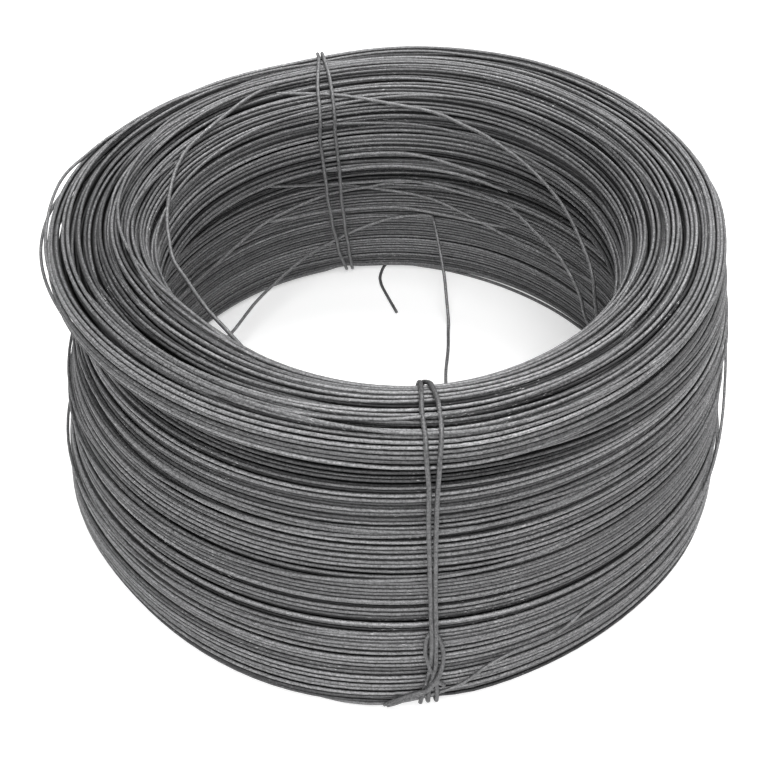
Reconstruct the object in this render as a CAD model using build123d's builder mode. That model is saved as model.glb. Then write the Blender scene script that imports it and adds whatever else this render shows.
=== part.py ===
from build123d import *

import os
from math import cos, radians, sin

# Coil of black annealed binding wire, standing on its wide end, held by two wire ties.
# Millimetres, +Z up. The origin is the centre of the base, on the surface that the coil stands on.
# The coil was wound on a tapered block, so its bore and its outer wall are both a little wider at the base.

# Wire
wire_diameter = 1.2
turn_pitch = 1.8  # from one turn to the next where the turns show

# Coil
coil_height = 92.0
bore_radius_base = 83.5
wall_base = 21.5  # thickness of the wound wall at the base
base_edge_radius = 4.0

# Loose top turns, which have spread out over the wall below and into the bore
bundle_bore_radius = 67.0
bundle_wall = 24.0
bundle_depth = 34.0  # from the top down to their foot in the bore
bundle_shoulder_radius = 17.0
bundle_foot_radius = 2.5
undercut = 9.5  # how far the bore widens under them
undercut_height = 5.0
rim_height = 11.0  # from the top down to their foot on the outer wall
rim_overhang = 3.0
rim_shoulder_radius = 5.0
shelf_radius = 0.9
base_groove_depth = 0.4

# Ties, each a length of the same wire bent double, with its ends drawn through its own eye
tie_clearance = 0.3
tie_strand_spacing = 3.2
tie_eye_width = 5.0
tie_eye_bend = 2.0
tie_tail_bend = 1.5
front_tie_azimuth = -84.0
front_eye_height = 13.0
front_tail_length = 14.0
rear_tie_azimuth = 103.0
rear_eye_drop = 13.0  # foot of the eye under the rim's lower edge
rear_tail_length = 9.0

wire_radius = wire_diameter / 2
outer_radius_base = bore_radius_base + wall_base
outer_radius_top = bundle_bore_radius + bundle_wall
bundle_foot = coil_height - bundle_depth
tie_gap = tie_clearance + wire_radius  # from the turns to the middle of a tie's strand


def taper(base_radius, top_radius, height):
    """Radius of a tapered wall at a height above the floor."""
    return base_radius + (top_radius - base_radius) * height / coil_height


# Outline through the middles of the turns that show, in radius and height, from the foot of the wall to the bore's
shelf_height = coil_height - rim_height
shelf_radius_inner = taper(outer_radius_base, outer_radius_top, shelf_height) - wire_radius
base_inset = 1.5 * base_edge_radius
base_outer_land = outer_radius_base - wire_radius - base_inset
base_inner_land = bore_radius_base + wire_radius + base_inset
with BuildLine() as outline:
    FilletPolyline(
        (base_outer_land, wire_radius),
        (outer_radius_base - wire_radius, wire_radius),
        (shelf_radius_inner, shelf_height),
        (shelf_radius_inner + rim_overhang, shelf_height + rim_overhang / 2),
        (outer_radius_top + rim_overhang - wire_radius, coil_height - wire_radius),
        (bundle_bore_radius + wire_radius, coil_height - wire_radius),
        (bundle_bore_radius + wire_radius, bundle_foot),
        (bundle_bore_radius + wire_radius + undercut, bundle_foot - undercut_height),
        (bore_radius_base + wire_radius, wire_radius),
        (base_inner_land, wire_radius),
        radius=[
            base_edge_radius,
            shelf_radius,
            shelf_radius,
            rim_shoulder_radius,
            bundle_shoulder_radius,
            bundle_foot_radius,
            bundle_foot_radius,
            base_edge_radius,
        ],
    )
outline_wire = outline.wire()
turn_count = int(outline_wire.length / turn_pitch)
crest_angle = radians(60)
land_count = int((base_outer_land - base_inner_land) / turn_pitch)
land_pitch = (base_outer_land - base_inner_land) / land_count

with BuildPart() as wire_coil:
    with BuildSketch(Plane.XZ):
        with BuildLine():
            # Each turn on the walls and the top shows half of its round, with flat faces
            last = (base_outer_land, 0)
            for turn in range(turn_count):
                place = (turn + 0.5) / turn_count
                middle = outline_wire.position_at(place)
                along = outline_wire.tangent_at(place) * wire_radius
                out = Vector(along.Y, -along.X)
                crest = [
                    middle - along,
                    middle - along * cos(crest_angle) + out * sin(crest_angle),
                    middle + along * cos(crest_angle) + out * sin(crest_angle),
                    middle + along,
                ]
                if turn == 0:
                    Polyline(last, outline_wire.position_at(0), *crest)
                else:
                    Polyline(last, *crest)
                last = crest[-1]
            Polyline(last, outline_wire.position_at(1), (base_inner_land, 0))
            # On the base the turns are pressed flat by the weight above, with a groove between each two
            last = (base_inner_land, 0)
            for land in range(1, land_count):
                middle = base_inner_land + land * land_pitch
                near = (middle - wire_radius / 2, 0)
                far = (middle + wire_radius / 2, 0)
                Polyline(last, near, (middle, base_groove_depth), far)
                last = far
            Line(last, (base_outer_land, 0))
        make_face()
    revolve(axis=Axis.Z)
    # The ties pass under the coil in the way they have pressed between its turns
    for azimuth in (front_tie_azimuth, rear_tie_azimuth):
        with Locations(Rotation(0, 0, azimuth)):
            with Locations(((bore_radius_base + outer_radius_base) / 2, 0, 0)):
                Box(
                    2 * (outer_radius_base - bore_radius_base),
                    tie_strand_spacing + wire_diameter + 2 * tie_clearance,
                    wire_diameter + 2 * tie_clearance,
                    align=(Align.CENTER, Align.CENTER, Align.MIN),
                    mode=Mode.SUBTRACT,
                )
wire_coil.part.label = "wire_coil"

# Section of a tie round the coil, in radius and height
foot_outer = (outer_radius_base + tie_gap, tie_gap)
foot_inner = (bore_radius_base - tie_gap, tie_gap)
bundle_edge = (bundle_bore_radius - tie_gap, bundle_foot)
top_inner = (bundle_bore_radius - tie_gap, coil_height + tie_gap)
top_outer = (outer_radius_top + rim_overhang + tie_gap, coil_height + tie_gap)
rim_edge = (shelf_radius_inner + rim_overhang + wire_radius + tie_gap, shelf_height + rim_overhang / 2)
tie_offset = wire_radius + tie_gap
foot_bend = base_edge_radius - tie_offset
rim_bend = rim_shoulder_radius + tie_offset
edge_bend = bundle_foot_radius + tie_offset
bore_bend = bundle_shoulder_radius + tie_offset
strand_step = wire_diameter + tie_clearance  # between the middles of two strands that lie side by side
tail_lift = 1.7 * strand_step  # the tails pass over the legs of the eye


def wall_line(height):
    """Radius of a tie's straight run outside the coil, from the foot to the rim."""
    share = (height - foot_outer[1]) / (rim_edge[1] - foot_outer[1])
    return foot_outer[0] + (rim_edge[0] - foot_outer[0]) * share


def tie_half(section, eye_height, heading, side, tail_length):
    """Points of half a tie, from the turn of its eye, round the coil's section, to the end of its tail."""
    points = [(wall_line(eye_height) + strand_step, side * tie_eye_width / 2, eye_height)]
    for radius, height in section:
        points.append((radius, side * tie_strand_spacing / 2, height))
    behind = eye_height - heading * 2 * strand_step
    through = behind - heading * strand_step * (2 + side / 2)
    end = through - heading * 2 * strand_step
    points.append((wall_line(behind), side * strand_step / 2, behind))
    points.append((wall_line(through) + tail_lift, side * strand_step / 2, through))
    points.append((wall_line(end) + tail_lift, -tail_length, end))
    return points


def tie_points(section, eye_height, heading, tail_length):
    """Points of the whole tie, from one tail's end to the other's."""
    left = tie_half(section, eye_height, heading, -1, tail_length)
    right = tie_half(section, eye_height, heading, 1, tail_length)
    return left[::-1] + right


def tie_bends(section_bends):
    """Bend radius at each point of a tie apart from its two ends."""
    half = [tie_eye_bend] + section_bends + [tie_tail_bend, tie_tail_bend]
    return half[::-1] + half


with BuildPart() as front_tie:
    with BuildLine(Plane.XY.rotated((0, 0, front_tie_azimuth))) as front_path:
        FilletPolyline(
            *tie_points(
                [foot_outer, foot_inner, bundle_edge, top_inner, top_outer, rim_edge],
                front_eye_height,
                1,
                front_tail_length,
            ),
            radius=tie_bends([foot_bend, foot_bend, edge_bend, bore_bend, rim_bend, rim_bend]),
        )
    with BuildSketch(front_path.line ^ 0):
        Circle(wire_radius)
    sweep()
front_tie.part.label = "front_tie"

with BuildPart() as rear_tie:
    with BuildLine(Plane.XY.rotated((0, 0, rear_tie_azimuth))) as rear_path:
        FilletPolyline(
            *tie_points(
                [rim_edge, top_outer, top_inner, bundle_edge, foot_inner, foot_outer],
                shelf_height - rear_eye_drop,
                -1,
                rear_tail_length,
            ),
            radius=tie_bends([rim_bend, rim_bend, bore_bend, edge_bend, foot_bend, foot_bend]),
        )
    with BuildSketch(rear_path.line ^ 0):
        Circle(wire_radius)
    sweep()
rear_tie.part.label = "rear_tie"

os.makedirs("parts", exist_ok=True)
export_step(wire_coil.part, "parts/wire_coil.step")
export_step(front_tie.part, "parts/front_tie.step")
export_step(rear_tie.part, "parts/rear_tie.step")
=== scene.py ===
"""Looks of a standing coil of black annealed binding wire, built in millimetres, in the model's frame."""

import bpy
import numpy as np
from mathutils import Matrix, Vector


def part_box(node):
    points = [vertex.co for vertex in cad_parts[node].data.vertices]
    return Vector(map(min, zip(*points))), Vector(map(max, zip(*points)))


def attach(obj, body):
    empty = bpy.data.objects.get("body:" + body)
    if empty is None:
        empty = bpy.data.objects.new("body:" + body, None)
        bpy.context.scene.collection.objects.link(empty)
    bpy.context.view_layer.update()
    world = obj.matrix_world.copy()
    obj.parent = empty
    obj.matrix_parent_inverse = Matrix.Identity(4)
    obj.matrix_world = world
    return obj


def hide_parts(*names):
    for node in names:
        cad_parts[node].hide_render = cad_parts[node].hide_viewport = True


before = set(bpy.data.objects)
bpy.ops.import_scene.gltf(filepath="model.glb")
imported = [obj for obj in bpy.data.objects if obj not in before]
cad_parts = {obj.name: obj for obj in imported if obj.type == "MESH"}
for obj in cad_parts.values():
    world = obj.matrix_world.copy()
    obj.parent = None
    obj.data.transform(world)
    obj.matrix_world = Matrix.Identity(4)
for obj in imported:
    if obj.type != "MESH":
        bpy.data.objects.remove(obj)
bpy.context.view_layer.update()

# Wire
MM = 0.001
PLAIN_TONE = 0.55
# Lighter tone for strands low in the bore: painted light
PAINTED_LIGHT_TONE = 0.72
WIRE = 1.2  # wire diameter
TURN = 0.92  # the same wire in the coil, a little thinner so that a dark line stays between turns that touch
TOUCH = 1.2  # between the middles of turns that lie against each other
SLICES = 120  # points in one turn
rng = np.random.default_rng(11)

# Plain section of the coil: radii and heights, and depths under its outline
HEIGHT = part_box("wire_coil")[1][2] / MM
BASE_OUTER = 105.0
TOP_OUTER = 91.0
BASE_BORE = 83.5
BUNDLE_BORE = 67.0
BUNDLE_FOOT = 58.0
WAIST_BORE = 76.5
WAIST_HEIGHT = 53.0
LAYER_DEPTHS = (0.72, 1.95, 3.15)
LAYER_LEAST = (0.6, 1.0, 2.0)  # no turn of a layer is pushed nearer to the outline than this
STRAY_LEAST = -0.6
CORE_DEPTH = 4.2
DIVE = 3.2  # depth at which the ends of loose turns are hidden


def smoothstep(low, high, x):
    t = np.clip((x - low) / (high - low), 0.0, 1.0)
    return t * t * (3 - 2 * t)


class Outline:
    """The section's rounded outline: from mid-base outwards, up the wall, over the top and down the bore."""

    def __init__(self, corners, step=0.2):
        points = np.array([c[0] for c in corners], float)
        radii = [c[1] for c in corners]
        self.p, self.n, self.k = [], [], []
        start = (points[0] + points[-1]) / 2
        here = start
        for i, corner in enumerate(points):
            before = corner - points[i - 1]
            after = points[(i + 1) % len(points)] - corner
            before = before / np.linalg.norm(before)
            after = after / np.linalg.norm(after)
            turn = np.arctan2(before[0] * after[1] - before[1] * after[0], before @ after)
            side = np.sign(turn)
            cut = radii[i] * np.tan(abs(turn) / 2)
            self.run(here, corner - before * cut, step)
            normal = np.array((before[1], -before[0]))
            centre = corner - before * cut - side * normal * radii[i]
            count = max(int(radii[i] * abs(turn) / step), 2)
            for j in range(count):
                c, s = np.cos(turn * j / count), np.sin(turn * j / count)
                q = np.array((normal[0] * c - normal[1] * s, normal[0] * s + normal[1] * c))
                self.p.append(centre + side * q * radii[i])
                self.n.append(q)
                self.k.append(side / radii[i])
            here = corner + after * cut
        self.run(here, start, step)
        self.p, self.n = np.array(self.p), np.array(self.n)
        length = np.linalg.norm(np.roll(self.p, -1, 0) - self.p, axis=1)
        self.s = np.concatenate([[0.0], np.cumsum(length)])
        self.length = self.s[-1]
        window = np.hanning(19)[1:-1] / np.hanning(19).sum()
        k = np.array(self.k)
        self.k = np.convolve(np.concatenate([k[-8:], k, k[:8]]), window, "valid")

    def run(self, a, b, step):
        """Add a straight stretch."""
        length = np.linalg.norm(b - a)
        along = (b - a) / length
        count = max(int(length / step), 1)
        for i in range(count):
            self.p.append(a + along * length * i / count)
            self.n.append((along[1], -along[0]))
            self.k.append(0.0)

    def at(self, values, s):
        """Points, normals or curvatures at places along the outline."""
        ends = np.concatenate([values, values[:1]])
        s = np.mod(s, self.length)
        if ends.ndim == 1:
            return np.interp(s, self.s, ends)
        return np.stack([np.interp(s, self.s, ends[:, i]) for i in range(2)], -1)

    def place(self, s, depth):
        """Radius and height of points at a depth under the outline."""
        return self.at(self.p, s) - self.at(self.n, s) * depth[..., None]


outline = Outline(
    [
        ((BASE_OUTER, 0.0), 3.4),
        ((TOP_OUTER, HEIGHT), 5.6),
        ((BUNDLE_BORE, HEIGHT), 17.0),
        ((BUNDLE_BORE, BUNDLE_FOOT), 3.0),
        ((WAIST_BORE, WAIST_HEIGHT), 4.0),
        ((BASE_BORE, 0.0), 4.6),
    ]
)


def chain_noise(count, width):
    """Smooth noise along a wire of so many points, with unit deviation."""
    f = np.fft.rfftfreq(count)
    y = np.fft.irfft(np.fft.rfft(rng.standard_normal(count)) * np.exp(-2 * (np.pi * f * width) ** 2), count)
    return y / y.std()


def moving_mean(a, half):
    """Mean over neighbouring turns."""
    pad = np.concatenate([np.repeat(a[:1], half, 0), a, np.repeat(a[-1:], half, 0)])
    total = np.concatenate([np.zeros((1, a.shape[1])), np.cumsum(pad, 0)])
    return (total[2 * half + 1 :] - total[: -2 * half - 1]) / (2 * half + 1)


# Rows along the outline: the place, how far apart the turns lie there, and how unevenly deep
LAY = [(0, 2.0, 0.3), (8, 1.7, 0.3), (12, 1.48, 0.4), (80, 1.5, 0.45), (86, 1.9, 0.6)]
LAY += [(92, 1.42, 0.55), (106, 1.4, 0.6), (120, 1.42, 0.65), (136, 1.6, 0.6), (150, 1.7, 0.6)]
LAY += [(156, 1.9, 0.6), (166, 1.7, 0.5), (176, 1.34, 0.12), (212, 1.3, 0.1), (outline.length, 2.0, 0.3)]
LAY_PLACE, PITCH, ROUGH = np.array(LAY).T
GAP_WAVES = ((0.65, 0.13), (0.45, 0.6))  # strength, and length in turns, of the two waves in the gaps
STEADY = 0.2  # share of each gap that doesn't vary
DRIFT_TURNS = 6  # turns on each side over which wide and narrow gaps even out
SINK = 0.4  # how far uneven turns lie under their layer
DEPTH_WAVE = 0.16  # in turns
LOOSE_AZIMUTH = 185.0  # the side of the top where the turns lie most unevenly
LOOSE_SPREAD = 40.0
LOOSE_ROUGH = 0.9


def layer_turns(depth, start):
    """One layer as turns of one wire: where each point is along the outline, and how deep under it."""
    s = rng.uniform(0, 1.5)
    marks = [s]
    while s < outline.length:
        s += np.interp(s % outline.length, LAY_PLACE, PITCH)
        marks.append(s)
    marks = np.array(marks)
    count = len(marks) - 1
    extra = np.diff(marks) - TOUCH
    size = (count, SLICES)
    waves = sum(strength * chain_noise(count * SLICES, SLICES * length) for strength, length in GAP_WAVES)
    gaps = np.exp(waves.reshape(size))
    gaps = TOUCH + extra[:, None] * (STEADY + (1 - STEADY) * gaps / gaps.mean())
    turn = np.arange(SLICES) / SLICES
    full = np.cumsum(gaps, 0) - gaps + gaps[0, 0] * turn[None, :]
    plain = marks[:-1, None] + np.diff(marks)[:, None] * turn[None, :]
    drift = full - plain
    drift -= moving_mean(drift, DRIFT_TURNS)
    s = plain + drift
    place = np.mod(s, outline.length)
    rough = np.interp(place, LAY_PLACE, ROUGH)
    side = np.mod(np.degrees(start) + 360 * turn - LOOSE_AZIMUTH + 180, 360) - 180
    on_top = smoothstep(90, 97, place) * (1 - smoothstep(126, 134, place))
    rough *= 1 + LOOSE_ROUGH * np.exp(-((side / LOOSE_SPREAD) ** 2)) * on_top
    depths = depth + rough * (SINK + chain_noise(count * SLICES, SLICES * DEPTH_WAVE).reshape(size))
    return s, depths


STRAY_WANDER = 1.2
STRAY_DIVE = 7.0
STRAY_WAVE = 0.25


def stray_turn(start, end, over):
    """A turn that crosses the others on top of them, and dives between them at both ends."""
    t = np.linspace(0, 1, SLICES)
    s = start + (end - start) * smoothstep(0.0, 1.0, t) + STRAY_WANDER * chain_noise(SLICES, SLICES * 0.2)
    dive = 1 - smoothstep(0.0, 0.14, t) * (1 - smoothstep(0.86, 1.0, t))
    depths = -over + STRAY_DIVE * dive + STRAY_WAVE * chain_noise(SLICES, SLICES * 0.15)
    return s[None, :], depths[None, :]


REACH = 4.0  # turns that start further apart than this never touch
PUSH = 0.4  # share of an overlap that is taken up in one round
HIDDEN = 4.6  # depth from which turns lie inside the dark body, out of sight
PULL = 0.02  # share of the way back to its own depth that a turn goes in one round


def relax(chains, least, rounds):
    """Push turns apart where they overlap, and keep each wire smooth along its length."""
    sizes = [len(c[0]) for c in chains]
    chain_of = np.repeat(np.arange(len(chains)), sizes)
    s = np.concatenate([c[0] for c in chains])
    d = np.concatenate([c[1] for c in chains])
    home = d.copy()
    least_depth = np.array(least)[chain_of][:, None]
    middle = (s.min(1) + s.max(1)) / 2
    reach = (s.max(1) - s.min(1)) / 2
    a, b = np.triu_indices(len(s), 1)
    apart = np.abs(middle[a] - middle[b])
    apart = np.minimum(apart, outline.length - apart)
    near = apart < REACH + reach[a] + reach[b]
    a, b = a[near], b[near]
    ends = np.cumsum([0] + sizes)
    for _ in range(rounds):
        ds = s[b] - s[a]
        ds -= outline.length * np.round(ds / outline.length)
        dd = d[b] - d[a]
        bend = np.clip(1 - outline.at(outline.k, s[a]) * 0.5 * (d[a] + d[b]), 0.35, 1.8)
        x = ds * bend
        gap = np.sqrt(x * x + dd * dd) + 1e-9
        push = PUSH * np.clip(TOUCH - gap, 0, None) / gap
        push[(d[a] > HIDDEN) | (d[b] > HIDDEN)] = 0.0
        px = push * x / bend
        pd = push * dd
        for i, sign in ((a, -1), (b, 1)):
            np.add.at(s, i, sign * px)
            np.add.at(d, i, sign * pd)
        d = np.maximum(d, least_depth)
        d += PULL * (home - d)
        for lo, hi in zip(ends[:-1], ends[1:]):
            for values in (s, d):
                wire = values[lo:hi].reshape(-1)
                wire[1:-1] = 0.5 * wire[1:-1] + 0.25 * (wire[:-2] + wire[2:])
                values[lo:hi] = wire.reshape(-1, SLICES)
    return [(s[lo:hi], d[lo:hi]) for lo, hi in zip(ends[:-1], ends[1:])]


# Turns that cross the others: where they start and end along the outline, and how far they ride over it
STRAYS = [(20, 36, 0.3), (34, 24, 0.35), (44, 58, 0.3), (60, 46, 0.4), (66, 78, 0.3), (78, 70, 0.3)]
STRAYS += [(104, 118, 0.35), (110, 98, 0.4), (116, 132, 0.3), (148, 134, 0.35), (164, 176, 0.3)]
STRAYS += [(196, 180, 0.3)]
LAYERS = len(LAYER_DEPTHS)
SEAM_TURN = 0.618  # of a turn, from where one wire starts to where the next does
SEAMS = 2 * np.pi * SEAM_TURN * np.arange(LAYERS + len(STRAYS))
chains = [layer_turns(depth, start) for depth, start in zip(LAYER_DEPTHS, SEAMS)]
chains += [stray_turn(*row) for row in STRAYS]
chains = relax(chains, list(LAYER_LEAST) + [STRAY_LEAST] * len(STRAYS), rounds=60)


def round_table(rows):
    """Values round the coil as a smooth function of azimuth, from rows of (azimuth in degrees, value)."""
    at, value = np.array(sorted(rows), float).T
    fine = np.arange(360)
    values = np.interp(fine, np.mod(at, 360), value, period=360)
    window = np.hanning(31) / np.hanning(31).sum()
    values = np.convolve(np.concatenate([values[-15:], values, values[:15]]), window, "valid")
    return lambda theta: np.interp(np.degrees(theta), fine, values, period=360)


# How far the walls stand out from the plain section, round the coil, at heights from the base to the rim
BASE_OUT = round_table(
    [(180, 0.8), (-165, 1.4), (-152, 1.0), (-146, 0.2), (-139, -0.3), (-123, 1.0), (-110, 2.5), (-99, 2.8)]
    + [(-86, 2.2), (-80, 1.8), (-70, 0.2), (-62, -0.4), (-50, -0.9), (-44, -0.5), (-30, 0.7), (0, 0.4)]
    + [(90, 0.0)]
)
FOOT_OUT = round_table(
    [(180, 1.0), (-165, 1.5), (-152, 1.6), (-140, 0.6), (-120, 0.8), (-99, 1.4), (-80, 1.0), (-60, 0.0)]
    + [(-44, 0.0), (-30, 1.0), (-16, 1.4), (0, 0.6), (90, 0.0)]
)
LOW_OUT = round_table(
    [(180, -0.4), (-172, -0.3), (-160, 0.6), (-140, 0.6), (-120, 0.4), (-90, 0.2), (-50, 0.8), (-30, 1.8)]
    + [(-16, 2.2), (0, 1.2), (90, 0.4)]
)
WAIST_OUT = round_table(
    [(180, -3.2), (-160, -2.8), (-130, -1.9), (-90, -1.9), (-60, -1.4), (-38, 0.2), (-18, 1.8), (0, 2.4)]
    + [(20, 2.2), (50, 0.6), (90, -1.2), (140, -2.4)]
)
NECK_OUT = round_table(
    [(180, -3.2), (-168, -3.8), (-150, -5.2), (-130, -5.4), (-90, -5.2), (-70, -4.4), (-52, -1.8), (-38, 0.2)]
    + [(-18, 1.8), (0, 2.4), (20, 2.2), (50, 0.6), (90, -2.0), (140, -3.0)]
)
RIM_OUT = round_table(
    [(-175, 4.8), (-164, 4.4), (-150, 3.6), (-138, 2.6), (-120, 2.0), (-99, 2.4), (-80, 3.8), (-65, 2.6)]
    + [(-40, 1.6), (-10, 0.6), (7, 2.6), (29, 4.4), (48, 5.4), (61, 5.2), (86, 3.6), (110, 0.4), (130, 1.6)]
    + [(151, 3.6), (166, 5.4)]
)
LEVELS = (BASE_OUT, FOOT_OUT, LOW_OUT, WAIST_OUT, NECK_OUT, RIM_OUT)
# Heights over which each of these gives way to the next
LEVEL_STEPS = ((2, 13), (16, 34), (44, 62), (67.5, 74), (79.5, 83.0))
RIM_LIFT = round_table(
    [(180, 0.0), (130, -1.1), (112, -2.1), (86, -0.3), (61, 0.6), (45, 0.4), (0, 0.0), (-90, 0.0)]
)
BORE_OUT = round_table(
    [(-175, 1.5), (-160, -0.6), (-145, -3.6), (-130, -4.4), (-115, -3.0), (-95, -1.2), (-75, -0.8)]
    + [(-60, -1.6), (-40, -2.0), (-25, -1.2), (0, -0.8), (30, -0.6), (90, 0.0), (150, 1.4)]
)
MIDDLE_HEIGHTS = (0, 55, HEIGHT)
MIDDLE_RADII = ((BASE_OUTER + BASE_BORE) / 2, 87.0, 81.0)
HALF_WALL = 9.5
RIM_WAVE = 0.4  # height of the three waves round the rim
RIM_DROP = 0.5
TIE_AZIMUTHS = (-84.0, 103.0)
TIE_WAY_LIFT = 1.35  # how far the turns of the base lie over a tie
TIE_WAY_WIDTH = 3.2  # in degrees
TIE_OFF = 0.62  # from the turns to the middle of a tie drawn over them


def swell(place, theta):
    """Bend the plain section into the real one: a loose rim, a neck under it, and walls not quite round."""
    r, z = place[..., 0].copy(), place[..., 1].copy()
    side = (r - np.interp(z, MIDDLE_HEIGHTS, MIDDLE_RADII)) / HALF_WALL
    outside = smoothstep(-0.2, 0.9, side)
    inside = smoothstep(-0.2, 0.9, -side)
    rise = [np.ones_like(z)] + [smoothstep(low, high, z) for low, high in LEVEL_STEPS] + [np.zeros_like(z)]
    out = sum((rise[i] - rise[i + 1]) * table(theta) for i, table in enumerate(LEVELS))
    r += outside * out + inside * smoothstep(50, 60, z) * BORE_OUT(theta)
    top = smoothstep(60, 90, z)
    z += top * (RIM_LIFT(theta) + RIM_WAVE * np.sin(3 * theta + 2.4) - RIM_DROP)
    for azimuth in TIE_AZIMUTHS:
        apart = np.mod(np.degrees(theta) - azimuth + 180, 360) - 180
        z += TIE_WAY_LIFT * np.exp(-((apart / TIE_WAY_WIDTH) ** 2)) * (1 - smoothstep(1.0, 9.0, z))
    return r, z


def wire_points(s, d, start):
    """Centre line of a wire's turns in millimetres, with the two directions across it."""
    theta = start + 2 * np.pi * np.arange(s.size) / SLICES
    wrapped = np.mod(theta, 2 * np.pi)
    r, z = swell(outline.place(s.reshape(-1), d.reshape(-1)), wrapped)
    across = np.stack([np.cos(theta), np.sin(theta), np.zeros_like(theta)], -1)
    up = np.broadcast_to(np.array([0.0, 0.0, 1.0]), across.shape)
    points = across * r[:, None]
    points[:, 2] = np.maximum(z, WIRE / 2)
    return points, across, up


def seat(azimuth, s, depth):
    """Points on the coil, from azimuths in degrees, places along the outline and depths under it."""
    azimuth, s, depth = np.broadcast_arrays(*(np.asarray(v, float) for v in (azimuth, s, depth)))
    theta = np.mod(np.radians(azimuth), 2 * np.pi)
    r, z = swell(outline.place(s, depth), theta)
    return np.stack([r * np.cos(theta), r * np.sin(theta), np.maximum(z, WIRE / 2)], -1)


def ring_point(azimuth, radius, height):
    """Point from an azimuth in degrees, a radius and a height."""
    return (radius * np.cos(np.radians(azimuth)), radius * np.sin(np.radians(azimuth)), height)


def taut_section(azimuth):
    """Radius and height of a wire drawn tight round the section, from its outer foot up and over the top."""
    s = np.linspace(0, outline.length, 600, endpoint=False)
    points = seat(azimuth, s, -TIE_OFF)
    flat = sorted(zip(np.hypot(points[:, 0], points[:, 1]), points[:, 2]))
    halves = []
    for order in (flat, flat[::-1]):
        hull = []
        for q in order:
            while len(hull) > 1:
                (ax, ay), (bx, by) = hull[-2], hull[-1]
                if (bx - ax) * (q[1] - ay) - (by - ay) * (q[0] - ax) > 0:
                    break
                hull.pop()
            hull.append(q)
        halves.append(hull[:-1])
    hull = np.array(halves[0] + halves[1])
    first = np.argmax(hull[:, 0] - 2.0 * hull[:, 1])  # the outer foot
    hull = np.roll(hull, -first, 0)
    hull = np.concatenate([hull, hull[:1]])
    length = np.concatenate([[0.0], np.cumsum(np.linalg.norm(np.diff(hull, axis=0), axis=1))])
    return hull, length


def curve(controls, step=0.8):
    """Points along a smooth line through the controls."""
    p = np.asarray(controls, float)
    knots = np.concatenate([[0.0], np.cumsum(np.sqrt(np.linalg.norm(np.diff(p, axis=0), axis=1)))])
    slope = np.empty_like(p)
    slope[1:-1] = (p[2:] - p[:-2]) / (knots[2:] - knots[:-2])[:, None]
    slope[0] = (p[1] - p[0]) / (knots[1] - knots[0])
    slope[-1] = (p[-1] - p[-2]) / (knots[-1] - knots[-2])
    line = []
    for i in range(len(p) - 1):
        width = knots[i + 1] - knots[i]
        count = max(int(np.linalg.norm(p[i + 1] - p[i]) / step), 1)
        u = (np.arange(count) / count)[:, None]
        a, b = p[i], p[i + 1]
        c, d = slope[i] * width, slope[i + 1] * width
        line.append(a + u * c + u * u * (3 * (b - a) - 2 * c - d) + u * u * u * (2 * (a - b) + c + d))
    line.append(p[-1:])
    return np.concatenate(line)


def strand(points, tone=PLAIN_TONE):
    """A wire along points, with the two directions across it carried on from point to point."""
    tangent = np.gradient(points, axis=0)
    tangent /= np.linalg.norm(tangent, axis=1)[:, None]
    seed = np.array([0.3, 0.2, 0.93])
    across = np.empty_like(points)
    for i, direction in enumerate(tangent):
        seed = seed - direction * (seed @ direction)
        seed = seed / np.linalg.norm(seed)
        across[i] = seed
    return points, across, np.cross(tangent, across), np.full(len(points), tone)


def new_mesh(name, points, faces, caps=(), tone=None, along=None):
    """Mesh from arrays of points in millimetres, of four-cornered faces, and of round end caps."""
    mesh = bpy.data.meshes.new(name)
    mesh.vertices.add(len(points))
    mesh.vertices.foreach_set("co", (np.asarray(points) * MM).astype(np.float32).ravel())
    corners = np.concatenate([faces.ravel()] + [np.asarray(cap) for cap in caps]).astype(np.int32)
    starts = np.concatenate([np.full(len(faces), 4), [len(cap) for cap in caps]]).astype(np.int32)
    starts = np.concatenate([[0], np.cumsum(starts)[:-1]]).astype(np.int32)
    mesh.loops.add(len(corners))
    mesh.loops.foreach_set("vertex_index", corners)
    mesh.polygons.add(len(starts))
    mesh.polygons.foreach_set("loop_start", starts)
    mesh.update(calc_edges=True)
    smooth = np.ones(len(starts), dtype=bool)
    smooth[len(faces) :] = False
    mesh.polygons.foreach_set("use_smooth", smooth)
    if tone is not None:
        values = mesh.attributes.new("tone", "FLOAT", "POINT").data
        values.foreach_set("value", tone.astype(np.float32))
    if along is not None:
        values = mesh.attributes.new("along", "FLOAT_VECTOR", "POINT").data
        values.foreach_set("vector", along.astype(np.float32).ravel())
    obj = bpy.data.objects.new(name, mesh)
    bpy.context.scene.collection.objects.link(obj)
    return obj


def tube(points, across, up, radius, sides):
    """Points, faces and end caps of a round wire along a line, and each point's place along and round it."""
    angle = 2 * np.pi * np.arange(sides) / sides
    ring = np.cos(angle)[None, :, None] * across[:, None, :] + np.sin(angle)[None, :, None] * up[:, None, :]
    skin = (points[:, None, :] + radius * ring).reshape(-1, 3)
    i = np.arange(len(points) - 1)[:, None] * sides
    j = np.arange(sides)[None, :]
    k = (j + 1) % sides
    faces = np.stack([i + j, i + k, i + sides + k, i + sides + j], -1).reshape(-1, 4)
    last = (len(points) - 1) * sides
    caps = [np.arange(sides)[::-1], last + np.arange(sides)]
    length = np.concatenate([[0.0], np.cumsum(np.linalg.norm(np.diff(points, axis=0), axis=1))])
    round_wire = [np.tile(np.cos(angle), len(points)), np.tile(np.sin(angle), len(points))]
    along = np.stack([np.repeat(length, sides)] + round_wire, -1)
    return skin, faces, caps, along


MARKS_APART = 37.0  # along the wire, so that no two wires have the same marks


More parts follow.
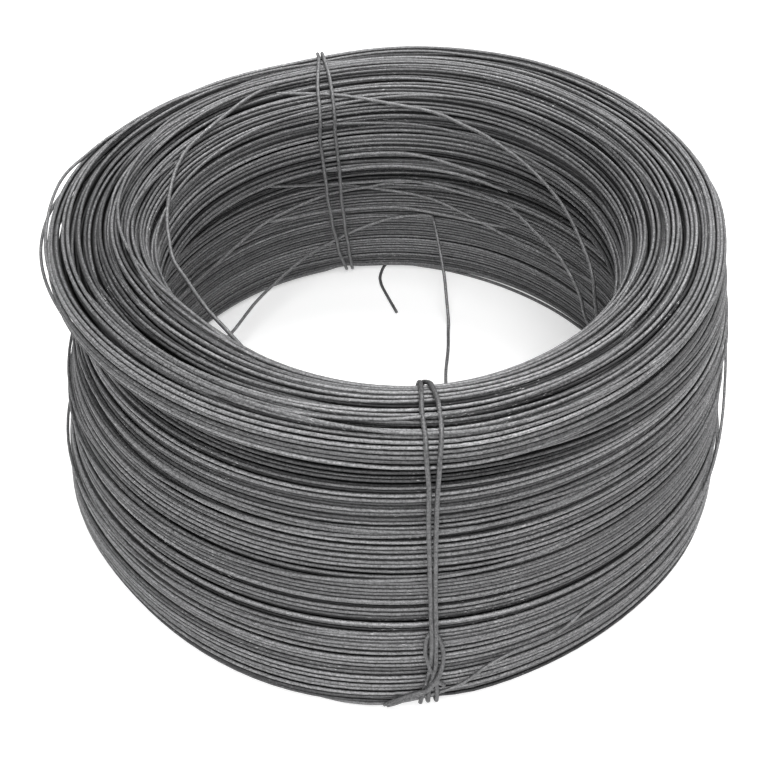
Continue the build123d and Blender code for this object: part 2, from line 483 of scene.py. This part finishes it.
def wire_piece(name, parts, sides, diameter=WIRE):
    """One object from several wires, each (points, across, up, tone)."""
    skins, face_sets, cap_sets, alongs, tones = [], [], [], [], []
    base = 0
    offset = 0.0
    for points, across, up, tone in parts:
        skin, faces, caps, along = tube(points, across, up, diameter / 2, sides)
        along[:, 0] += offset
        skins.append(skin)
        face_sets.append(faces + base)
        cap_sets += [cap + base for cap in caps]
        alongs.append(along)
        tones.append(np.repeat(tone, sides))
        base += len(skin)
        offset = along[-1, 0] + MARKS_APART
    return new_mesh(
        name,
        np.concatenate(skins),
        np.concatenate(face_sets),
        cap_sets,
        np.concatenate(tones),
        np.concatenate(alongs),
    )


# The coil's turns
pieces = []
PAINTED_DEPTH_SHADE = 0.16  # painted shade: how much darker a turn is painted for each millimetre that it lies deeper, and lighter where it stands out
TONE_WAVES = ((0.16, 0.5), (0.10, 0.05))  # strength, and length in turns, of changes in tone


def chain_pieces(name, chain, start, sides, most, shade):
    """Objects for a chain of turns, each with so many turns at most."""
    s, d = chain
    points, across, up = wire_points(s, d, start)
    tone = np.full(len(points), shade)
    for strength, length in TONE_WAVES:
        tone += strength * chain_noise(len(points), SLICES * length)
    # Painted shade and light: turns deeper than the chain's mean are painted darker, those nearer the outline
    # lighter
    tone -= PAINTED_DEPTH_SHADE * (d.reshape(-1) - d.mean())
    step = most * SLICES
    for part, lo in enumerate(range(0, len(points) - 1, step)):
        cut = slice(lo, min(lo + step + 1, len(points)))
        wire = (points[cut], across[cut], up[cut], tone[cut])
        pieces.append(wire_piece(f"{name}_{part + 1}", [wire], sides, TURN))


# The second and third layers are painted darker than the outer one (shade 0.2 and 0.0 against 0.55): painted
# shade for the light that doesn't reach them
chain_pieces("outer_turns", chains[0], SEAMS[0], sides=8, most=70, shade=PLAIN_TONE)
chain_pieces("second_turns", chains[1], SEAMS[1], sides=7, most=80, shade=0.2)
chain_pieces("third_turns", chains[2], SEAMS[2], sides=5, most=120, shade=0.0)
strays = []
for chain, start in zip(chains[LAYERS:], SEAMS[LAYERS:]):
    points, across, up = wire_points(*chain, start)
    strays.append((points, across, up, np.full(len(points), PLAIN_TONE)))
pieces.append(wire_piece("crossing_turns", strays, 8, diameter=TURN))


DEPTH_SCALE = 10  # small depths then bend the line as much as degrees and places do


def laid_turn(rows):
    """A loose turn along the surface, from rows of (azimuth, place along the outline, depth)."""
    azimuth, s, depth = np.array(rows, float).T
    fine = np.arange(azimuth[0], azimuth[-1], 4.0)
    line = curve(np.stack([azimuth, s, depth * DEPTH_SCALE], -1), step=2.0)
    place = np.interp(fine, line[:, 0], line[:, 1])
    deep = np.interp(fine, line[:, 0], line[:, 2] / DEPTH_SCALE)
    return strand(curve(seat(fine, place, deep), step=1.2))


def free_strand(rows, tone):
    """A strand that hangs clear of the turns, from rows of (azimuth, radius, height)."""
    return strand(curve([ring_point(*row) for row in rows]), tone)


# Loose turns that stand off the rim and the wall: azimuth, place along the outline, depth
LOOSE_TURNS = [
    [(146, 97, DIVE), (158, 96, 0.7), (167, 95, 0.2), (174, 95, -0.8), (182, 95, -1.5), (191, 95, -1.4)]
    + [(200, 94.5, -0.4), (222, 93, DIVE)],
    [(142, 101, DIVE), (156, 101, 0.7), (165, 101, 0.0), (172, 100, -1.2), (179, 100, -1.2), (187, 99, -0.5)]
    + [(198, 98, 0.3), (212, 97, DIVE)],
    [(130, 112, DIVE), (150, 112, -0.6), (175, 114, -0.6), (200, 117, -0.6), (225, 118, -0.5)]
    + [(250, 119, DIVE)],
    [(150, 123, DIVE), (166, 121, -0.6), (186, 118.5, -0.6), (206, 116, -0.6), (230, 115, DIVE)],
    [(-45, 112, DIVE), (-25, 113, -0.6), (0, 115, -0.6), (25, 117.5, -0.6), (48, 119, DIVE)],
    [(-8, 96, DIVE), (4, 96, 1.2), (12, 95.5, -0.6), (17, 95.5, -1.1), (21, 95.5, -0.6), (30, 95, 1.2)]
    + [(44, 94, DIVE)],
    [(-112, 8, DIVE), (-98, 10, 0.3), (-82, 15, -0.6), (-74, 23, -0.6), (-64, 25, -0.6), (-57, 31, -0.7)]
    + [(-45, 31.5, -0.7), (-36, 31, -0.8), (-26, 34, -0.9), (-14, 45, -1.0), (-6, 55, -1.9), (0, 62, -2.4)]
    + [(6, 69, -1.6), (16, 80, 0.0), (28, 84, DIVE)],
]
# Strands of the same wire that have sprung loose in the bore: azimuth, radius, height
BORE_STRANDS = [
    [(116, 80.0, 88.0), (125, 77.0, 88.5), (134, 74.5, 87.5), (149, 72.5, 85.5), (157, 71.0, 84.0)]
    + [(164, 69.5, 81.0), (171, 68.0, 77.0), (177, 66.0, 73.5), (183, 64.0, 71.5), (191, 60.0, 70.0)]
    + [(202, 57.0, 69.0), (215, 54.5, 67.0), (226, 54.5, 65.0), (238, 56.5, 62.0), (254, 61.5, 57.0)]
    + [(270, 69.0, 51.0), (284, 78.0, 46.0)],
    [(120, 76.5, 86.5), (113, 74.1, 85.4), (106, 72.3, 84.3), (101, 70.5, 83.7), (91, 68.0, 82.0)]
    + [(78, 67.0, 80.0), (69, 66.0, 77.5), (61, 66.0, 75.0), (47, 65.5, 70.0), (33, 65.5, 63.5)]
    + [(19, 65.0, 55.5), (12.5, 65.0, 50.5), (9.5, 65.5, 43.5), (4, 66.5, 36.0), (-14, 71.0, 28.0)]
    + [(-34, 77.0, 24.0), (-50, 83.0, 22.0)],
    [(89, 90.0, 1.6), (92, 85.5, 0.8), (93.5, 79.0, 0.6), (93.5, 75.0, 0.6), (93, 71.5, 0.6)]
    + [(88.5, 57.0, 0.6)],
    [(86, 86.5, 0.9), (74, 85.0, 0.7), (60, 84.0, 0.7), (46, 84.0, 0.7), (34, 84.5, 0.7), (22, 85.5, 0.9)]
    + [(10, 87.0, 1.4)],
]
# Those that lie lower, along the back of the bore, painted lighter than the plain wire: painted light for the
# light they catch
BRIGHT_STRANDS = [
    [(163, 83.0, 26.0), (150, 79.0, 29.0), (141, 78.5, 30.5), (133, 78.0, 34.0), (124, 77.5, 38.0)]
    + [(109, 77.0, 42.0), (96, 76.5, 44.0), (88, 76.0, 46.0), (75, 74.0, 48.0), (57, 71.0, 47.5)]
    + [(43, 69.5, 42.5), (36, 69.5, 40.0), (31, 70.0, 36.0), (26, 71.0, 30.0), (23, 72.0, 22.5)]
    + [(17, 75.0, 16.0), (6, 80.0, 13.0), (-6, 85.0, 12.0)],
    [(108, 80.0, 45.0), (96, 77.0, 43.0), (80, 77.0, 39.0), (65, 78.0, 31.5), (57, 78.5, 28.5)]
    + [(48, 78.5, 28.0), (38, 79.0, 28.0), (26, 83.0, 27.5)],
    [(186, 84.0, 5.0), (172, 76.5, 6.0), (160, 69.5, 8.0), (150, 66.0, 11.0), (134.5, 69.5, 13.0)]
    + [(118.5, 74.5, 17.0), (112, 77.5, 18.0), (106.5, 79.8, 19.0), (101.5, 78.5, 23.0), (96, 77.5, 26.5)]
    + [(90, 77.0, 29.5), (83, 78.5, 30.0), (79.7, 78.7, 30.0), (79, 78.3, 29.6), (78.5, 77.0, 28.5)]
    + [(77, 73.5, 25.0), (73, 65.0, 15.0), (70, 58.5, 8.0), (67.5, 54.0, 2.5), (66, 50.5, 0.7)]
    + [(61, 41.5, 0.6), (53, 31.5, 0.6), (43, 25.5, 0.6)],
    [(113, 70.5, 61.5), (104.5, 68.0, 63.0), (97.5, 66.5, 64.0), (87.5, 66.0, 64.2), (79.5, 66.0, 63.3)]
    + [(74, 66.0, 62.0), (68, 66.0, 61.0), (58, 69.5, 57.5)],
    [(114, 72.0, 57.5), (105, 68.5, 57.3), (97.5, 66.6, 58.6), (88, 66.2, 58.9), (79.5, 66.2, 58.5)]
    + [(68, 66.4, 57.8), (56, 71.0, 53.5)],
    [(130, 80.0, 54.0), (119.5, 75.0, 51.3), (108.5, 74.0, 48.8), (98, 73.5, 48.0), (87.5, 73.5, 48.3)]
    + [(79.5, 74.0, 47.0), (68, 75.0, 44.5), (56, 80.0, 41.5)],
    [(129, 82.0, 36.0), (120, 77.5, 36.0), (112.5, 76.5, 35.8), (106, 76.3, 35.4), (98, 76.0, 35.0)]
    + [(88.5, 76.0, 35.0), (79, 76.3, 33.4), (67, 77.0, 32.3), (55, 83.0, 30.0)],
]
pieces.append(wire_piece("loose_turns", [laid_turn(rows) for rows in LOOSE_TURNS], 8, diameter=TURN))
bore_wires = [free_strand(rows, PLAIN_TONE) for rows in BORE_STRANDS]
bore_wires += [free_strand(rows, PAINTED_LIGHT_TONE) for rows in BRIGHT_STRANDS]
pieces.append(wire_piece("bore_strands", bore_wires, 8))


class Tie:
    """A tie drawn tight round the section; its places are a way along it, an azimuth and a lift off it."""

    def __init__(self, azimuth, tone):
        self.hull, self.length = taut_section(azimuth)
        self.tone = tone

    def point(self, way, azimuth, lift):
        way = np.mod(way, self.length[-1])
        radius = np.interp(way, self.length, self.hull[:, 0])
        height = np.interp(way, self.length, self.hull[:, 1])
        return ring_point(azimuth, radius + lift, max(height, WIRE / 2))

    def wire(self, rows, over=(), step=3.0):
        """A strand along rows of (way, azimuth, lift), and on round the section to rows over the top."""
        lap = self.length[-1]
        over = [(way - lap, azimuth, lift) for way, azimuth, lift in over]
        way, azimuth, lift = np.array(rows + over, float).T
        points = []
        for i in range(len(way) - 1):
            count = max(int(abs(way[i + 1] - way[i]) / step), 1)
            for j in range(count):
                u = j / count
                v = u * u * (3 - 2 * u)
                points.append(
                    self.point(
                        way[i] + u * (way[i + 1] - way[i]),
                        azimuth[i] + (u + v) / 2 * (azimuth[i + 1] - azimuth[i]),
                        lift[i] + v * (lift[i + 1] - lift[i]),
                    )
                )
        points.append(self.point(way[-1], azimuth[-1], lift[-1]))
        return strand(curve(points, 0.6), self.tone)

    def knot(self, way, azimuth):
        """The eye round the two strands, with its long and its short tail."""
        rows = [(-17.5, -6.9, 0.8), (-14.0, -5.1, 1.1), (-11.0, -2.6, 1.5), (-9.0, -0.9, 2.2)]
        rows += [(-5.5, 0.1, 2.6), (-3.5, 0.7, 2.2), (0.0, 1.3, 1.2), (4.5, 1.3, 0.6), (8.5, 0.7, 0.2)]
        rows += [(10.5, 0.0, 0.0), (9.0, -0.8, 0.2), (3.5, -1.1, 0.5), (-2.5, -0.4, 1.1), (-4.5, 0.2, 1.3)]
        rows += [(-7.0, 0.6, 1.2), (-9.5, 1.6, 0.9)]
        return self.wire([(way + a, azimuth + b, c) for a, b, c in rows])


front = Tie(TIE_AZIMUTHS[0], tone=0.36)
front_wires = [
    front.wire(
        [(13, -84.6, 0.0), (6, -84.9, 0.1), (0, -84.9, 0.0), (-20, -84.9, 0.0), (-100, -84.7, 0.0)],
        [(115, -84.8, 0.1), (99, -85.6, 0.0), (89, -85.5, 0.0), (78, -85.1, 0.0), (67, -85.1, 0.0)]
        + [(54, -84.9, 0.0), (40, -84.7, 0.2), (30, -84.6, 1.2), (24, -84.6, 1.2), (17, -84.7, 0.4)]
        + [(12, -85.2, 0.5), (8.5, -85.7, 0.9), (4.5, -86.1, 1.0)],
    ),
    front.wire(
        [(13, -83.8, 0.0), (6, -83.7, 0.1), (0, -83.7, 0.0), (-20, -83.6, 0.0), (-100, -83.9, 0.0)],
        [(117.5, -83.9, 0.1), (113, -83.1, 0.3), (102.5, -82.8, 0.0), (95, -83.1, 0.0), (87.5, -83.7, 0.0)]
        + [(74.5, -84.0, 0.0), (64, -84.1, 0.0), (46, -84.1, 0.1), (30, -84.0, 1.2), (24, -84.0, 1.2)]
        + [(19, -84.0, 1.3), (13, -84.6, 1.6), (9.5, -85.5, 1.6), (8, -87.1, 1.5), (5, -89.4, 1.2)]
        + [(2.5, -90.7, 1.0)],
    ),
    front.knot(20.0, -84.3),
]
# The rear tie is painted lighter than the front tie of the same wire (0.58 against 0.36): painted light
rear = Tie(105.0, tone=0.58)
rear_wires = [
    rear.wire(
        [(55, 103.4, 0.0), (30, 103.0, 0.0), (0, 102.6, 0.0), (-18, 102.3, 0.0)],
        [(184.5, 105.2, 0.0), (168.5, 107.3, 0.0), (152, 109.3, 0.0), (137, 110.8, 0.0), (127.5, 111.4, 0.0)]
        + [(113.5, 110.1, 0.0), (96, 106.7, 0.0), (84, 105.4, 0.2), (74, 104.9, 1.2), (66, 104.8, 1.2)]
        + [(58, 104.9, 0.4), (52, 105.6, 0.8), (46, 106.2, 1.0)],
    ),
    rear.wire(
        [(55, 102.6, 0.0), (30, 101.6, 0.0), (0, 101.0, 0.0), (-17, 100.7, 0.0)],
        [(186.5, 102.1, 0.0), (172.5, 103.5, 0.0), (153.5, 105.1, 0.0), (136.5, 106.2, 0.0)]
        + [(126, 106.8, 0.0), (114.5, 106.3, 0.0), (105.5, 105.9, 0.0), (96.5, 105.7, 0.0), (84, 104.6, 0.2)]
        + [(74, 104.2, 1.2), (66, 104.1, 1.2), (58, 104.0, 0.4), (52, 103.4, 0.8), (47, 102.8, 1.0)],
    ),
    rear.knot(62.0, 104.4),
]
front_look = wire_piece("front_tie_wire", front_wires, 10)
rear_look = wire_piece("rear_tie_wire", rear_wires, 10)


def core_mesh(rows=110, columns=96):
    """The turns further in, which only close the gaps between the outer ones; drawn near black, as painted
    shade.
    """
    s = np.linspace(0, outline.length, rows, endpoint=False)
    theta = 2 * np.pi * np.arange(columns) / columns
    grid_s, grid_t = np.meshgrid(s, theta, indexing="ij")
    r, z = swell(outline.place(grid_s, np.full(grid_s.shape, CORE_DEPTH)), grid_t)
    points = np.stack([r * np.cos(grid_t), r * np.sin(grid_t), z], -1).reshape(-1, 3)
    i = np.arange(rows)[:, None]
    j = np.arange(columns)[None, :]
    i2, j2 = (i + 1) % rows, (j + 1) % columns
    faces = np.stack([i * columns + j, i * columns + j2, i2 * columns + j2, i2 * columns + j], -1)
    return new_mesh("painted_shade_inner_turns", points, faces.reshape(-1, 4))


core = core_mesh()

# Materials
# The dark end is dark oxide and also painted shade: the third layer of turns takes it
OXIDE_DARK_AND_SHADE = (0.028, 0.028, 0.029, 1)
OXIDE_LIGHT = (0.25, 0.25, 0.254, 1)
BARE_METAL = (0.55, 0.55, 0.55, 1)


def wire_material(name):
    """Annealed steel: a dark, grainy oxide skin with small scrapes down to brighter metal."""
    material = bpy.data.materials.new(name)
    material.use_nodes = True
    nodes, links = material.node_tree.nodes, material.node_tree.links
    shader = nodes["Principled BSDF"]

    def add(kind, **inputs):
        node = nodes.new(kind)
        for key, value in inputs.items():
            if hasattr(value, "is_output"):
                links.new(value, node.inputs[key])
            else:
                node.inputs[key].default_value = value
        return node

    def attribute(attribute_name):
        node = nodes.new("ShaderNodeAttribute")
        node.attribute_name = attribute_name
        return node

    def multiply(a, b):
        node = nodes.new("ShaderNodeMath")
        node.operation = "MULTIPLY"
        links.new(a, node.inputs[0])
        links.new(b, node.inputs[1])
        return node.outputs[0]

    def spread(value, low, high, to_low, to_high):
        node = add("ShaderNodeMapRange", Value=value)
        for key, number in (("From Min", low), ("From Max", high), ("To Min", to_low), ("To Max", to_high)):
            node.inputs[key].default_value = number
        return node.outputs["Result"]

    place = nodes.new("ShaderNodeTexCoord").outputs["Object"]
    along = attribute("along").outputs["Vector"]
    stretched = add("ShaderNodeMapping", Vector=along, Scale=(0.3, 1.0, 1.0)).outputs["Vector"]
    grain = add("ShaderNodeTexNoise", Vector=place, Scale=1900.0, Detail=3.0, Roughness=0.65).outputs["Fac"]
    streak = add("ShaderNodeTexNoise", Vector=stretched, Scale=1.6, Detail=2.0).outputs["Fac"]
    scrape = add("ShaderNodeTexNoise", Vector=stretched, Scale=2.6, Detail=1.0).outputs["Fac"]
    patch = add("ShaderNodeTexNoise", Vector=place, Scale=60.0, Detail=1.0).outputs["Fac"]
    bright = multiply(spread(scrape, 0.66, 0.74, 0.0, 1.0), spread(patch, 0.5, 0.62, 0.0, 1.0))

    # The tone picks a colour between the two ends: the wire's own random tone, plus painted shade on deeper
    # turns and painted light on lighter strands and the rear tie
    ramp = nodes.new("ShaderNodeValToRGB")
    ramp.color_ramp.elements[0].color = OXIDE_DARK_AND_SHADE
    ramp.color_ramp.elements[1].color = OXIDE_LIGHT
    links.new(attribute("tone").outputs["Fac"], ramp.inputs["Fac"])
    shade = multiply(spread(grain, 0.3, 0.7, 0.35, 1.65), spread(streak, 0.3, 0.7, 0.78, 1.22))
    skin = add("ShaderNodeMix")
    skin.data_type = "RGBA"
    skin.blend_type = "MULTIPLY"
    skin.inputs["Factor"].default_value = 1.0
    links.new(ramp.outputs["Color"], skin.inputs["A"])
    links.new(shade, skin.inputs["B"])
    colour = add("ShaderNodeMix")
    colour.data_type = "RGBA"
    links.new(bright, colour.inputs["Factor"])
    links.new(skin.outputs["Result"], colour.inputs["A"])
    colour.inputs["B"].default_value = BARE_METAL
    bump = add("ShaderNodeBump", Height=grain, Strength=0.35, Distance=0.0001)
    links.new(colour.outputs["Result"], shader.inputs["Base Color"])
    links.new(spread(grain, 0.3, 0.7, 0.48, 0.68), shader.inputs["Roughness"])
    links.new(bump.outputs["Normal"], shader.inputs["Normal"])
    shader.inputs["Metallic"].default_value = 0.6
    return material


def plain_material(name, inputs):
    """A material with fixed inputs."""
    material = bpy.data.materials.new(name)
    material.use_nodes = True
    for key, value in inputs.items():
        material.node_tree.nodes["Principled BSDF"].inputs[key].default_value = value
    return material


wire_look = wire_material("annealed_wire")
# Painted shade: the inner turns are near black, darker than the wire, for the shade deep in the coil
painted_shade_core_look = plain_material(
    "painted_shade_inner_turns", {"Base Color": (0.01, 0.01, 0.01, 1), "Roughness": 0.8, "Specular IOR Level": 0.0}
)
for piece in pieces:
    piece.data.materials.append(wire_look)
core.data.materials.append(painted_shade_core_look)
for piece in pieces + [core]:
    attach(piece, "root")
    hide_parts("wire_coil")
for piece, node in ((front_look, "front_tie"), (rear_look, "rear_tie")):
    piece.data.materials.append(wire_look)
    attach(piece, "root")
    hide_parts(node)

# Floor and sky, in metres
FLOOR_HALF = 4.0
WHITE = (1, 1, 1, 1)
SKY_STRENGTH = 0.4
corners = [(-FLOOR_HALF, -FLOOR_HALF, 0), (FLOOR_HALF, -FLOOR_HALF, 0), (FLOOR_HALF, FLOOR_HALF, 0)]
corners += [(-FLOOR_HALF, FLOOR_HALF, 0)]
floor_mesh = bpy.data.meshes.new("floor")
floor_mesh.from_pydata(corners, [], [(0, 1, 2, 3)])
floor = bpy.data.objects.new("floor", floor_mesh)
bpy.context.scene.collection.objects.link(floor)
floor_look = plain_material(
    "floor",
    {
        "Base Color": (0.75, 0.75, 0.75, 1),
        "Roughness": 0.9,
        "Emission Color": WHITE,
        "Emission Strength": 0.43,
    },
)
floor_mesh.materials.append(floor_look)

world = bpy.data.worlds.new("studio")
bpy.context.scene.world = world
world.use_nodes = True
world.node_tree.nodes["Background"].inputs["Color"].default_value = WHITE
world.node_tree.nodes["Background"].inputs["Strength"].default_value = SKY_STRENGTH

# Soft boxes that face the coil: name, place in metres, diameter in metres, power in watts
LAMP_TARGET = Vector((0, 0, 0.03))
LAMPS = [
    ("above", (0.05, -0.24, 0.9), 0.5, 3.7),
    ("behind", (0.1, 0.35, 0.85), 0.5, 7.0),
    ("front", (-0.05, -0.75, 0.6), 0.5, 5.6),
    ("left", (-0.7, -0.1, 0.6), 0.6, 1.1),
    ("right", (0.7, 0.1, 0.6), 0.6, 1.7),
]
for name, at, size, power in LAMPS:
    light = bpy.data.lights.new(name, "AREA")
    light.shape = "DISK"
    light.size = size
    light.energy = power
    lamp = bpy.data.objects.new(name, light)
    lamp.location = at
    lamp.rotation_euler = (LAMP_TARGET - Vector(at)).to_track_quat("-Z", "Y").to_euler()
    bpy.context.scene.collection.objects.link(lamp)

# Camera
RIM_RADIUS = 0.09375  # in metres
PHOTO_WIDTH = 768  # in pixels
FOCAL_LENGTH = 1100  # in pixels
CENTRE_SHIFT = -8.6  # in pixels
PITCH_DOWN = 43.69  # in degrees
SENSOR = 36.0
camera_data = bpy.data.cameras.new("camera")
camera = bpy.data.objects.new("camera", camera_data)
camera_data.sensor_width = SENSOR
camera_data.lens = FOCAL_LENGTH / PHOTO_WIDTH * SENSOR
camera_data.shift_x = CENTRE_SHIFT / PHOTO_WIDTH
camera.location = (0, -2.767 * RIM_RADIUS, 2.862 * RIM_RADIUS)
camera.rotation_euler = (np.radians(90 - PITCH_DOWN), 0, 0)
camera_data.clip_start = 0.01
bpy.context.scene.collection.objects.link(camera)
bpy.context.scene.camera = camera
bpy.context.scene.view_settings.view_transform = "Standard"
